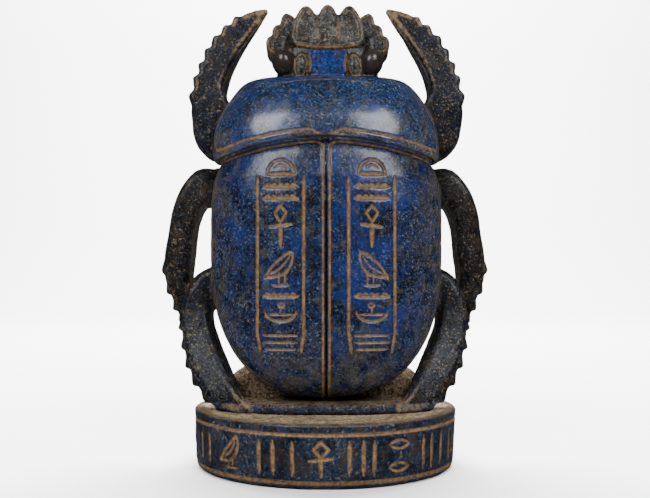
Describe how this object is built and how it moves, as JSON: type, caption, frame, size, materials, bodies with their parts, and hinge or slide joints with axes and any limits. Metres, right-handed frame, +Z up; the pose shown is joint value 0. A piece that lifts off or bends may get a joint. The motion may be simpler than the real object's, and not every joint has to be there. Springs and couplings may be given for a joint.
{
  "type": "scarab amulet",
  "caption": "Carved blue scarab standing head up on an oval plinth, with inscribed wing cases and band, ochre in the grooves.",
  "frame": {"origin": "centre of the plinth's underside", "axes": "+Z up the figure to its head, +Y towards its belly, +X to the right of someone who faces the inscribed wing cases"},
  "size_m": [0.0872, 0.0584, 0.1209],
  "materials": {
    "carved_stone": "semi-gloss",
    "plinth_stone": "satin"
  },
  "bodies": {
    "root": {"plinth": "plinth_stone", "scarab": "carved_stone"}
  },
  "joints": []
}
